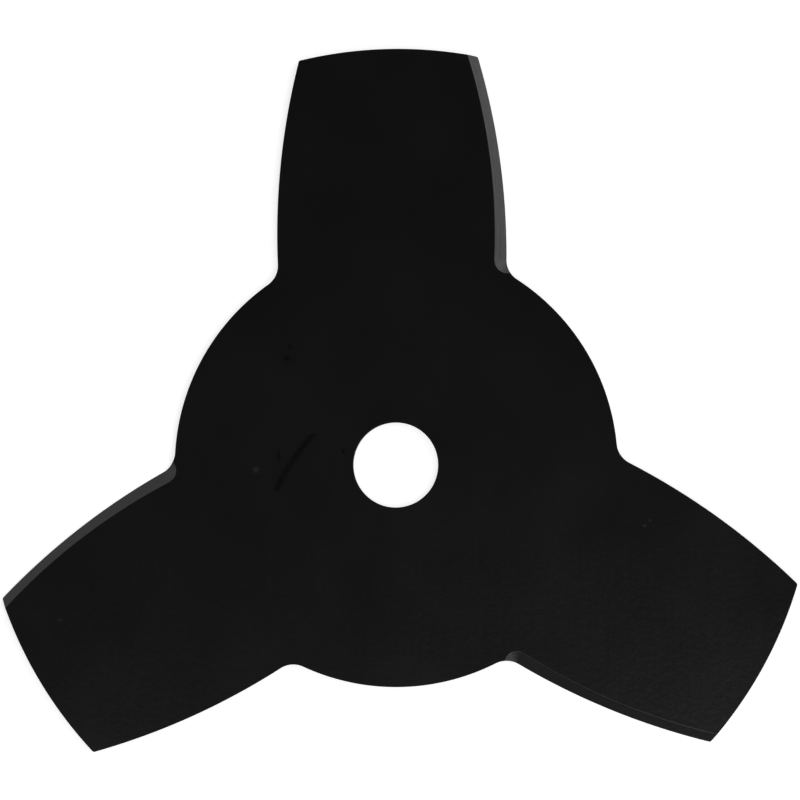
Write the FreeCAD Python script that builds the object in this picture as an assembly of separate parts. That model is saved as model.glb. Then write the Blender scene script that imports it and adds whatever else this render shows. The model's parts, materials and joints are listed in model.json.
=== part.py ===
import FreeCAD, Part
import math
import os

# Brush cutter blade: one flat plate of spring steel with a bore and three wide teeth.
# Sizes are in millimetres. The underside lies on z = 0, the bore's axis is Z,
# and the first tooth points along +Y.

# Plate
plate_thickness = 2.0
bore_diameter = 25.4

# Outline: a round hub and teeth whose long edges bow outwards
tip_diameter = 250.0
hub_diameter = 132.8
tooth_count = 3
tooth_width = 68.8
edge_radius = 210.0
root_radius = 7.0
tip_corner_radius = 0.8

# Bevel ground along one long edge of each tooth, on each face
bevel_width_root = 3.65
bevel_width_tip = 2.8
bevel_radius = 182.0
edge_land = 0.25
run_out_margin = 0.35

# How far the grinding body reaches clear of the steel
grind_clearance = 1.0

hub_radius = hub_diameter / 2
tip_radius = tip_diameter / 2
tooth_pitch = 360.0 / tooth_count
bore_axis = FreeCAD.Vector(0, 0, 0)
up = FreeCAD.Vector(0, 0, 1)
along_tooth = FreeCAD.Vector(0, 1, 0)


def from_centre(centre, through, distance):
    """The point at this distance from the centre, on the ray through the other point."""
    ray = through - centre
    return centre + ray * (distance / ray.Length)


def crossing(centre_a, radius_a, centre_b, radius_b):
    """Where two circles cross, on the right of the way from the first centre to the second."""
    way = centre_b - centre_a
    along = (way.Length ** 2 + radius_a ** 2 - radius_b ** 2) / (2 * way.Length)
    aside = math.sqrt(radius_a ** 2 - along ** 2)
    right = FreeCAD.Vector(way.y, -way.x, 0)
    return centre_a + (way * along + right * aside) * (1 / way.Length)


def arc(start, end, centre, radius):
    """The shorter arc about the centre from one point to the other."""
    middle = from_centre(centre, (start + end) * 0.5, radius)
    return Part.Arc(start, middle, end).toShape()


# The right-hand long edge of the first tooth. Its arc runs parallel to the tooth
# where the tooth leaves the hub, and draws in towards the tip.
edge_centre = FreeCAD.Vector(tooth_width / 2 - edge_radius, hub_radius, 0)

# The inner corner is a round that touches both the hub and the long edge.
root_centre = crossing(bore_axis, hub_radius + root_radius, edge_centre, edge_radius + root_radius)
hub_end = from_centre(bore_axis, root_centre, hub_radius)
edge_start = from_centre(edge_centre, root_centre, edge_radius)

# The tip's corner is a round inside the long edge and the tip circle.
corner_centre = crossing(bore_axis, tip_radius - tip_corner_radius,
                         edge_centre, edge_radius - tip_corner_radius)
edge_end = from_centre(edge_centre, corner_centre, edge_radius)
tip_start = from_centre(bore_axis, corner_centre, tip_radius)


def tooth_outline():
    """One tooth with both of its sides, and the hub's arc on to the next tooth."""

    def mirrored(point):
        return FreeCAD.Vector(-point.x, point.y, 0)

    edges = [arc(tip_start, mirrored(tip_start), bore_axis, tip_radius)]
    for placed in (FreeCAD.Vector, mirrored):
        edges.append(arc(placed(hub_end), placed(edge_start), placed(root_centre), root_radius))
        edges.append(arc(placed(edge_start), placed(edge_end), placed(edge_centre), edge_radius))
        edges.append(arc(placed(edge_end), placed(tip_start), placed(corner_centre),
                         tip_corner_radius))
    turn = FreeCAD.Rotation(up, -tooth_pitch)
    next_hub_end = turn.multVec(mirrored(hub_end))
    edges.append(arc(hub_end, next_hub_end, bore_axis, hub_radius))
    return edges


def plate():
    """The flat blank with its bore, before grinding."""
    edges = []
    for index in range(tooth_count):
        for edge in tooth_outline():
            edges.append(edge.rotated(bore_axis, up, index * tooth_pitch))
    outline = Part.Wire(Part.__sortEdges__(edges))
    blank = Part.Face(outline).extrude(up * plate_thickness)
    below = bore_axis - up * grind_clearance
    bore = Part.makeCylinder(bore_diameter / 2, plate_thickness + 2 * grind_clearance, below)
    return blank.cut(bore)


def bevel_grind():
    """The body that the bevel's grinding takes away along the first tooth's right-hand edge.

    A conical cutter stands beside the root, where it leaves its own round run-out, and
    swings about a pivot on the far side of the tooth until it has left the tip. The bevel
    falls from its inner line on the upper face to a thin land at the edge.
    """
    slope = (plate_thickness - edge_land) / bevel_width_root
    root_inner = from_centre(edge_centre, edge_start, edge_radius - bevel_width_root)
    tip_inner = from_centre(edge_centre, edge_end, edge_radius - bevel_width_tip)
    pivot = crossing(tip_inner, bevel_radius, root_inner, bevel_radius)

    # Half of the cutter's section, from its axis to the bevel's inner line.
    cutter_radius = max(bevel_width_root, bevel_width_tip) + run_out_margin
    top = up * (plate_thickness + grind_clearance)
    inner_top = from_centre(pivot, root_inner, bevel_radius - grind_clearance / slope) + top
    axis_top = from_centre(pivot, root_inner, bevel_radius + cutter_radius) + top
    apex = axis_top - up * (grind_clearance + cutter_radius * slope)
    half_section = Part.Face(Part.makePolygon([inner_top, apex, axis_top, inner_top]))

    past_tip = crossing(bore_axis, tip_radius + grind_clearance, pivot, bevel_radius)
    swing = (root_inner - pivot).getAngle(past_tip - pivot)
    swept = half_section.revolve(pivot, up, math.degrees(swing))
    run_out = half_section.revolve(apex, up, 180)
    return swept.fuse(run_out)


# The blade can be turned over, so the same bevel is ground from below on each
# tooth's other long edge.
upper_grind = bevel_grind()
mid_plane = up * (plate_thickness / 2)
lower_grind = upper_grind.rotated(mid_plane, along_tooth, 180)
grinds = []
for index in range(tooth_count):
    for grind in (upper_grind, lower_grind):
        grinds.append(grind.rotated(bore_axis, up, index * tooth_pitch))

blade = plate().cut(grinds)

os.makedirs("parts", exist_ok=True)
blade.exportStep("parts/blade.step")
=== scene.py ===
import json
import math

import bmesh
import bpy
from mathutils import Matrix, Vector


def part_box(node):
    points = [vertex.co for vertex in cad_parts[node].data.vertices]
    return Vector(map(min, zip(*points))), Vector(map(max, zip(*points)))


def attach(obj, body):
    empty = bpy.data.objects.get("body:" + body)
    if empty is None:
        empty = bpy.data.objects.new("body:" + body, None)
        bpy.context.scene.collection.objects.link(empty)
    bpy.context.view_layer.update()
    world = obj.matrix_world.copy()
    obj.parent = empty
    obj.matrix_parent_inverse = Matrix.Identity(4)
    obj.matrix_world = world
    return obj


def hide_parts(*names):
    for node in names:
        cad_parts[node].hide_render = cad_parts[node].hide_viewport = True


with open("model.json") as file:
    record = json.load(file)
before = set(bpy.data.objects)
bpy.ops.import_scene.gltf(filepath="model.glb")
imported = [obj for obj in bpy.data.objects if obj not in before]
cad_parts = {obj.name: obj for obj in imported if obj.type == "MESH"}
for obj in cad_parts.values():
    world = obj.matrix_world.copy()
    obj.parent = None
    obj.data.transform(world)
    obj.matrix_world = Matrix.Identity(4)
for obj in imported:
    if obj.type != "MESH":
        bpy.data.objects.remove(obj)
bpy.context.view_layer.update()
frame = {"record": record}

# The blade is one plate of hardened spring steel, cut in one go to its outline with a
# round bore. Each tooth has a bevel ground on one long edge from above, and one on the
# other edge from below, so that it can be turned over. All of it is painted black.
tooth_count = 3
hub_radius = 0.0664
tooth_width = 0.0688
edge_radius = 0.210
root_radius = 0.007
corner_radius = 0.0008
bevel_width_root = 0.00365
bevel_width_tip = 0.0028
bevel_radius = 0.182
cutter_radius = 0.004
edge_land = 0.00025

low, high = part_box("blade")
bore_radius = frame["record"]["mounts"][0]["dims"]["r_mm"] / 1000
tip_radius = high.y
thickness = high.z - low.z
bevel_slope = (thickness - edge_land) / bevel_width_root
bore_axis = Vector((0, 0))


def from_centre(centre, through, distance):
    """The point at this distance from the centre, on the ray through the other point."""
    ray = through - centre
    return centre + ray * (distance / ray.length)


def crossing(centre_a, radius_a, centre_b, radius_b):
    """Where two circles cross, on the right of the way from the first centre to the second."""
    way = centre_b - centre_a
    along = (way.length ** 2 + radius_a ** 2 - radius_b ** 2) / (2 * way.length)
    aside = math.sqrt(radius_a ** 2 - along ** 2)
    right = Vector((way.y, -way.x))
    return centre_a + (way * along + right * aside) / way.length


def turned(point, angle):
    """The point or direction, turned to the left about the bore's axis."""
    return Matrix.Rotation(angle, 2) @ point


def along_arc(centre, start, end, spacing):
    """Points on the shorter way round from start up to just before end."""
    first, last = start - centre, end - centre
    clockwise = first.angle_signed(last)
    count = max(1, math.ceil(abs(clockwise) * first.length / spacing))
    return [centre + turned(first, -clockwise * i / count) for i in range(count)]


edge_centre = Vector((tooth_width / 2 - edge_radius, hub_radius))
root_centre = crossing(bore_axis, hub_radius + root_radius, edge_centre, edge_radius + root_radius)
corner_centre = crossing(bore_axis, tip_radius - corner_radius,
                         edge_centre, edge_radius - corner_radius)
hub_end = from_centre(bore_axis, root_centre, hub_radius)
edge_start = from_centre(edge_centre, root_centre, edge_radius)
edge_end = from_centre(edge_centre, corner_centre, edge_radius)
tip_start = from_centre(bore_axis, corner_centre, tip_radius)

# The bevel's inner line swings about a pivot on the far side of the tooth. At the root it
# ends in the round that the cutter leaves where it stood.
root_inner = from_centre(edge_centre, edge_start, edge_radius - bevel_width_root)
tip_inner = from_centre(edge_centre, edge_end, edge_radius - bevel_width_tip)
pivot = crossing(tip_inner, bevel_radius, root_inner, bevel_radius)
cutter_axis = from_centre(pivot, root_inner, bevel_radius + cutter_radius)
run_out_end = crossing(cutter_axis, cutter_radius, root_centre, root_radius)
run_off = crossing(bore_axis, tip_radius, pivot, bevel_radius)


def bevelled(points):
    """Each point of the edge with the upper end of the bevel's line of fall to it."""
    made = []
    for point in points:
        if (root_inner - pivot).angle_signed(point - pivot) <= 0:
            made.append((point, from_centre(pivot, point, bevel_radius)))
        else:
            made.append((point, from_centre(cutter_axis, point, cutter_radius)))
    return made


def square(points):
    """Each point of the edge where no bevel falls to it."""
    return [(point, None) for point in points]


# The right-hand side of the first tooth, from the middle of the hub's free arc to the
# middle of the tip. The spacings are those of the mesh's points along each stretch.
long_spacing = 0.0012
root_spacing = 0.00015
corner_spacing = 0.0001
tip_spacing = 0.0002
gap_middle = turned(Vector((0, hub_radius)), -math.pi / tooth_count)
tip_middle = Vector((0, tip_radius))
side = square(along_arc(bore_axis, gap_middle, hub_end, long_spacing))
side += square(along_arc(root_centre, hub_end, run_out_end, root_spacing))
side += [(run_out_end, run_out_end)]
side += bevelled(along_arc(root_centre, run_out_end, edge_start, root_spacing)[1:])
side += bevelled(along_arc(edge_centre, edge_start, edge_end, long_spacing))
side += bevelled(along_arc(corner_centre, edge_end, tip_start, corner_spacing))
side += bevelled(along_arc(bore_axis, tip_start, run_off, tip_spacing))
side += [(run_off, run_off)]
side += square(along_arc(bore_axis, run_off, tip_middle, tip_spacing)[1:])

# All the way round, each place has its point of the outline, and the upper end of the
# bevel's fall to it on the upper face and on the lower one, where there is a bevel.
mirror = Matrix(((-1, 0), (0, 1)))
tooth = [(point, inner, None) for point, inner in side]
tooth.append((tip_middle, None, None))
tooth += [(mirror @ point, None, inner and mirror @ inner) for point, inner in side[:0:-1]]
ring = []
for index in range(tooth_count):
    angle = 2 * math.pi * index / tooth_count
    ring += [[point and turned(point, angle) for point in place] for place in tooth]

# The bore's points begin on +X, and bore_start is the one towards the first free arc's middle.
bore_count = 180
bore_start = round(bore_count * (1 / 4 - 1 / (2 * tooth_count)))
bore = [turned(Vector((bore_radius, 0)), 2 * math.pi * i / bore_count)
        for i in range(bore_count)]

# Each arris is rounded by arris_width, which fades out over arris_fade before the points
# where a bevel ends.
arris_width = 0.00011
arris_fade = 0.0018

# Each face has one of three finishes, numbered as the materials are.
ROLLED, GROUND, CUT = range(3)
mesh = bmesh.new()
grain_map = mesh.loops.layers.uv.new("grain")
arris = mesh.edges.layers.float.new("bevel_weight_edge")


def add(point, height):
    """A vertex at this point of the plan and at this height."""
    return mesh.verts.new((point.x, point.y, height))


def add_face(corners, finish):
    """One face from (vertex, distance along the grain, distance across it). A vertex that
    comes twice counts once, and fewer than three make no face."""
    kept = [c for i, c in enumerate(corners) if c[0] not in [b[0] for b in corners[:i]]]
    if len(kept) > 2:
        made = mesh.faces.new([c[0] for c in kept])
        made.material_index = finish
        made.smooth = True
        for loop, (vertex, along, across) in zip(made.loops, kept):
            loop[grain_map].uv = along, across


def add_wall(lower, upper):
    """The cut wall between two closed rows of vertices, with its grain up the thickness."""
    run = 0.0
    for i in range(len(lower)):
        j = (i + 1) % len(lower)
        step = (lower[j].co - lower[i].co).length
        add_face([(lower[i], run, lower[i].co.z), (lower[j], run + step, lower[j].co.z),
                  (upper[j], run + step, upper[j].co.z), (upper[i], run, upper[i].co.z)], CUT)
        run += step


def add_side(which, face_height, down):
    """One side of the plate: its flat face and its bevels, which are entry 1 of each place
    on the upper side and entry 2 on the lower. The bevels fall by down times their depth.
    Returns the side's outer rim and its bore's rim."""
    rim, crest = [], []
    for place in ring:
        point, inner = place[0], place[which] or place[0]
        fall = (point - inner).length * bevel_slope
        rim.append(add(point, face_height + down * fall))
        crest.append(rim[-1] if point == inner else add(inner, face_height))
    run = 0.0
    for i in range(len(ring)):
        j = (i + 1) % len(ring)
        step = (rim[j].co - rim[i].co).length
        add_face([(rim[i], run, (rim[i].co - crest[i].co).length),
                  (rim[j], run + step, (rim[j].co - crest[j].co).length),
                  (crest[j], run + step, 0.0), (crest[i], run, 0.0)], GROUND)
        run += step
    hole = [add(point, face_height) for point in bore]

    # The flat face is one part per tooth, parted at the middles of the hub's free arcs.
    for index in range(tooth_count):
        first = index * len(tooth)
        outer = [crest[(first + i) % len(ring)] for i in range(len(tooth) + 1)]
        start = bore_start + index * bore_count // tooth_count
        inner = [hole[(start + i) % bore_count] for i in range(bore_count // tooth_count + 1)]
        add_face([(v, v.co.x, v.co.y) for v in outer + inner[::-1]], ROLLED)

    # The closer an arris is to the end of a bevel, the less it is rounded.
    ends = [v for v, place in zip(rim, ring) if place[which] == place[0]]
    for row in (rim, crest, hole):
        for pair in zip(row, row[1:] + row[:1]):
            nearest = min((a.co - b.co).length for a in pair for b in ends)
            edge = mesh.edges.get(pair)
            edge[arris] = min(1.0, nearest / arris_fade)
            edge.smooth = nearest > 0
    return rim, hole


upper_rim, upper_hole = add_side(1, thickness, -1)
lower_rim, lower_hole = add_side(2, 0.0, 1)
add_wall(lower_rim, upper_rim)
add_wall(lower_hole, upper_hole)
bmesh.ops.recalc_face_normals(mesh, faces=mesh.faces)
blade_mesh = bpy.data.meshes.new("painted_blade")
mesh.to_mesh(blade_mesh)
mesh.free()
blade = bpy.data.objects.new("painted_blade", blade_mesh)
bpy.context.scene.collection.objects.link(blade)
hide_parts("blade")
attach(blade, "root")

# Tumbling and the paint round every arris a little.
softened = blade.modifiers.new("softened_arrises", "BEVEL")
softened.width = arris_width
softened.segments = 3
softened.limit_method = "WEIGHT"
softened.use_clamp_overlap = False
softened.harden_normals = True


class Wire:
    """A socket of a node tree. Arithmetic on it adds Math nodes."""

    def __init__(self, tree, socket=None):
        self.tree = tree
        self.socket = socket

    def node(self, kind, settings, inputs, output=0):
        """The output of a new node, whose settings are set before its sockets."""
        made = self.tree.nodes.new(kind)
        for name, value in settings.items():
            setattr(made, name, value)
        for name, value in inputs.items():
            if isinstance(value, Wire):
                self.tree.links.new(value.socket, made.inputs[name])
            else:
                made.inputs[name].default_value = value
        return Wire(self.tree, made.outputs[output])

    def math(self, operation, *others):
        return self.node("ShaderNodeMath", {"operation": operation},
                         dict(enumerate((self, *others))))

    def __add__(self, other):
        return self.math("ADD", other)

    def __sub__(self, other):
        return self.math("SUBTRACT", other)

    def __rsub__(self, other):
        return self * -1 + other

    def __mul__(self, other):
        return self.math("MULTIPLY", other)

    def __truediv__(self, other):
        return self.math("DIVIDE", other)

    __radd__ = __add__
    __rmul__ = __mul__

    def vector(self, operation, other, output=0):
        return self.node("ShaderNodeVectorMath", {"operation": operation}, {0: self, 1: other},
                         output)

    def rise(self, start, end):
        """0 up to start, 1 from end on, and smooth between."""
        return self.node("ShaderNodeMapRange", {"interpolation_type": "SMOOTHSTEP"},
                         {"Value": self, "From Min": start, "From Max": end})

    def noise(self, size, detail=2.0, stretch=(1, 1, 1)):
        """Noise about 0 on the position in this wire, with spots of about this size."""
        scaled = self.vector("MULTIPLY", [1 / (size * s) for s in stretch])
        return self.node("ShaderNodeTexNoise", {},
                         {"Vector": scaled, "Scale": 1.0, "Detail": detail}) - 0.5

    def axis(self, name):
        return self.node("ShaderNodeSeparateXYZ", {}, {"Vector": self}, name)

    def spot(self, centre, reach):
        """1 at the centre, falling to 0 at the rim of an oval of this reach along X and Y."""
        off = self.vector("SUBTRACT", (*centre, 0))
        share = off.vector("MULTIPLY", (1 / reach[0], 1 / reach[1], 0))
        return 1 - share.vector("LENGTH", (0, 0, 0), "Value").rise(0, 1)


darkest_paint = (0, 0, 0, 1)
palest_paint = (0.05, 0.05, 0.05, 1)
millimetre = 0.001


def paint(name, finish):
    """Black paint. The finish is given two wires, the place on the blade and the place
    along and across the grain. It gives back the tone, from 0 at the darkest to 1 at the
    palest, the roughness, and the height in millimetres."""
    material = bpy.data.materials.new(name)
    material.use_nodes = True
    tree = material.node_tree
    shader = tree.nodes["Principled BSDF"]
    start = Wire(tree)
    place = start.node("ShaderNodeTexCoord", {}, {}, "Object")
    grain = start.node("ShaderNodeUVMap", {"uv_map": "grain"}, {})
    tone, roughness, height = finish(place, grain)

    # A mix's colours are its inputs 6 and 7, and the mixed colour is its output 2.
    colour = start.node("ShaderNodeMix", {"data_type": "RGBA"},
                        {0: tone, 6: darkest_paint, 7: palest_paint}, 2)
    normal = start.node("ShaderNodeBump", {}, {"Distance": millimetre, "Height": height})
    feeds = {"Base Color": colour, "Roughness": roughness, "Normal": normal}
    for socket, wire in feeds.items():
        tree.links.new(wire.socket, shader.inputs[socket])
    return material


def orange_peel(place):
    """The wet paint's own unevenness, in millimetres, which is coarse with a finer share."""
    return place.noise(0.0016) * 0.05 + place.noise(0.0005) * 0.006


# Handling has burnished a curved rub and four spots left of the bore, which look darker, and
# left a few pale nicks. The rub lies on the left of a circle, between two places in Y, where
# it fades over rub_end. A spot or nick has its centre and its reach along X and Y.
rub_centre = (0.0168, -0.0309, thickness)
rub_radius = 0.0579
rub_reach = 0.0016
rub_low = -0.0075
rub_high = 0.0104
rub_end = 0.0012
spots = [((-0.0321, 0.0325), (0.0021, 0.0014)), ((-0.0312, 0.0360), (0.0007, 0.0016)),
         ((-0.0351, 0.0036), (0.0008, 0.0030)), ((-0.0156, 0.0044), (0.0011, 0.0013))]
nicks = [((-0.0419, -0.0006), (0.0017, 0.0014)), ((0.0740, -0.0196), (0.0010, 0.0008)),
         ((0.0757, -0.0181), (0.0007, 0.0007)), ((-0.1017, -0.0446), (0.0010, 0.0007))]


def rolled_face(place, grain):
    """Satin paint over the smooth skin that the rolls leave, with a little dust in it. Only
    the upper face has the rub, the spots and the nicks."""
    x, y, z = [place.axis(name) for name in "XYZ"]
    off_circle = (place.vector("DISTANCE", rub_centre, "Value") - rub_radius).math("ABSOLUTE")
    rub = 1 - off_circle.rise(0, rub_reach)
    rub = rub * y.rise(rub_low, rub_low + rub_end) * (1 - y.rise(rub_high - rub_end, rub_high))
    rub = rub * (1 - x.rise(-bore_radius, 0))
    top = z.rise(thickness / 2, thickness)
    patchy = 1 + place.noise(0.0018) * 1.5
    rubbed = (rub + sum(place.spot(*spot) for spot in spots)) * patchy * top
    nicked = sum(place.spot(*nick) for nick in nicks) * top
    smudge = place.noise(0.035, 4)
    mottle = place.noise(0.003, 3)
    rolled = place.noise(0.0007, 3, (1, 30, 1))
    dust = place.noise(0.0011, 0).rise(0.22, 0.38)
    tone = 0.115 + smudge * 0.03 + mottle * 0.02 - rubbed * 0.045 + nicked * 0.14
    roughness = 0.30 + smudge * 0.10 + rolled * 0.05 - rubbed * 0.05 + nicked * 0.10
    height = orange_peel(place) + rolled * 0.008 + dust * 0.012 - nicked * 0.02
    return tone, roughness, height


def ground_bevel(place, grain):
    """Thin paint that still shows the grinding's scratches along the edge, and its waves."""
    fine = grain.noise(0.00022, 3, (120, 1, 1))
    coarse = grain.noise(0.0009, 2, (45, 1, 1))
    waves = grain.noise(0.012, 1)
    # The bevel's tone is paler than the flat face's. Part of that is the thin paint over ground
    # steel, and part is painted sheen: some of the light the tilted bevel catches is put into its
    # colour.
    tone = 0.15 + fine * 0.08 + coarse * 0.06
    roughness = 0.30 + fine * 0.10 + coarse * 0.08
    height = orange_peel(place) * 0.5 + fine * 0.010 + coarse * 0.016 + waves * 0.12
    return tone, roughness, height


def cut_edge(place, grain):
    """Paint over the fine upright scores of the cut."""
    scores = grain.noise(0.00025, 3, (1, 8, 1))
    tone = 0.13 + scores * 0.06
    roughness = 0.42 + scores * 0.12
    height = orange_peel(place) * 0.5 + scores * 0.02
    return tone, roughness, height


# The order is that of ROLLED, GROUND and CUT.
for finish in (rolled_face, ground_bevel, cut_edge):
    blade_mesh.materials.append(paint("paint_on_" + finish.__name__, finish))


# The floor is a wide sheet of pale paper, a hair under the blade. What the camera and
# reflections see of it is lifted to white, and it keeps the blade's shadow.
floor_half = 6.0
floor_gap = 0.00002
floor_mesh = bpy.data.meshes.new("paper_floor")
floor_mesh.from_pydata([(x * floor_half, y * floor_half, 0) for x, y in
                        ((-1, -1), (1, -1), (1, 1), (-1, 1))], [], [(0, 1, 2, 3)])
floor = bpy.data.objects.new("paper_floor", floor_mesh)
floor.location.z = -floor_gap
bpy.context.scene.collection.objects.link(floor)

paper = bpy.data.materials.new("paper")
paper.use_nodes = True
floor_mesh.materials.append(paper)
paper_shader = paper.node_tree.nodes["Principled BSDF"]
paper_finish = {"Base Color": (0.6, 0.6, 0.6, 1), "Roughness": 0.9, "Specular IOR Level": 0.1,
                "Emission Color": (1, 1, 1, 1)}
for socket, value in paper_finish.items():
    paper_shader.inputs[socket].default_value = value
paper_lift = 0.74
ray = Wire(paper.node_tree)
lift = sum(ray.node("ShaderNodeLightPath", {}, {}, kind)
           for kind in ("Is Camera Ray", "Is Glossy Ray", "Is Transmission Ray")) * paper_lift
paper.node_tree.links.new(lift.socket, paper_shader.inputs["Emission Strength"])


# Soft light comes from a band of lights round the table, about 20 to 40 degrees up, which is
# strongest on the right and dark on the near side. The walls are pale low down. Overhead,
# where the camera hangs, it is dark but for three small soft lamps.
band_even = 1.29
band_east = 0.80
band_north = 0.74
band_sides = 0.67
band_diagonal = 0.38

# These are heights in the sky, each the sine of its elevation.
band_foot = (0.24, 0.44)
band_top = (0.645, 0.695)
wall_top = (0.06, 0.22)
wall_level = 0.9
least_level = 0.006

# This keeps the direction round about finite straight overhead.
least_reach = 0.001

world = bpy.data.worlds.new("studio")
bpy.context.scene.world = world
world.use_nodes = True
sky = Wire(world.node_tree)
direction = sky.node("ShaderNodeTexCoord", {}, {}, "Generated")
east, north, up = [direction.axis(name) for name in "XYZ"]
reach = (east * east + north * north).math("SQRT") + least_reach
east = east / reach
north = north / reach
round_about = (band_even + east * band_east + north * band_north
               + (east * east - north * north) * band_sides + east * north * band_diagonal)
band = round_about.math("MAXIMUM", 0.0) * up.rise(*band_foot) * (1 - up.rise(*band_top))
walls = (1 - up.rise(*wall_top)) * wall_level
light = band.math("MAXIMUM", walls) + least_level
background = world.node_tree.nodes["Background"]
world.node_tree.links.new(light.socket, background.inputs["Color"])


def towards(azimuth, elevation, distance):
    """The point this far from the origin. Both angles are in degrees."""
    a, e = math.radians(azimuth), math.radians(elevation)
    return Vector((math.cos(e) * math.cos(a), math.cos(e) * math.sin(a), math.sin(e))) * distance


# Each lamp has its azimuth and elevation in degrees, its distance and its power in watts.
lamps = [(-80, 52, 0.41, 0.13), (-60, 52, 0.60, 0.55), (-125, 56, 0.50, 0.060)]
lamp_size = 0.22
for azimuth, elevation, distance, power in lamps:
    lamp_data = bpy.data.lights.new("soft_lamp", "AREA")
    lamp_data.shape = "DISK"
    lamp_data.size = lamp_size
    lamp_data.energy = power
    lamp = bpy.data.objects.new("soft_lamp", lamp_data)
    lamp.location = towards(azimuth, elevation, distance)
    lamp.rotation_euler = (-lamp.location).to_track_quat("-Z", "Y").to_euler()
    bpy.context.scene.collection.objects.link(lamp)


# The camera looks down on the blade through a long lens. It leans three and a half degrees
# off upright, towards the lower right tooth, and it is turned a degree, so that the first
# tooth leans left of upright in the picture.
image_side = 800
metres_per_pixel = 0.29939e-3
lens = 200.0
sensor = 36.0
aim = Vector((0.00166, 0.01942, high.z))
lean = math.radians(3.54)
lean_azimuth = math.radians(-36.4)
turn = math.radians(1.105)

camera_data = bpy.data.cameras.new("camera")
camera_data.lens = lens
camera_data.sensor_width = sensor
camera = bpy.data.objects.new("camera", camera_data)
bpy.context.scene.collection.objects.link(camera)
camera_distance = image_side * metres_per_pixel * lens / sensor
lean_axis = Vector((-math.sin(lean_azimuth), math.cos(lean_azimuth), 0))
camera.matrix_world = (Matrix.Translation(aim) @ Matrix.Rotation(lean, 4, lean_axis)
                       @ Matrix.Rotation(-turn, 4, "Z")
                       @ Matrix.Translation((0, 0, camera_distance)))
bpy.context.scene.camera = camera
bpy.context.scene.view_settings.view_transform = "Standard"
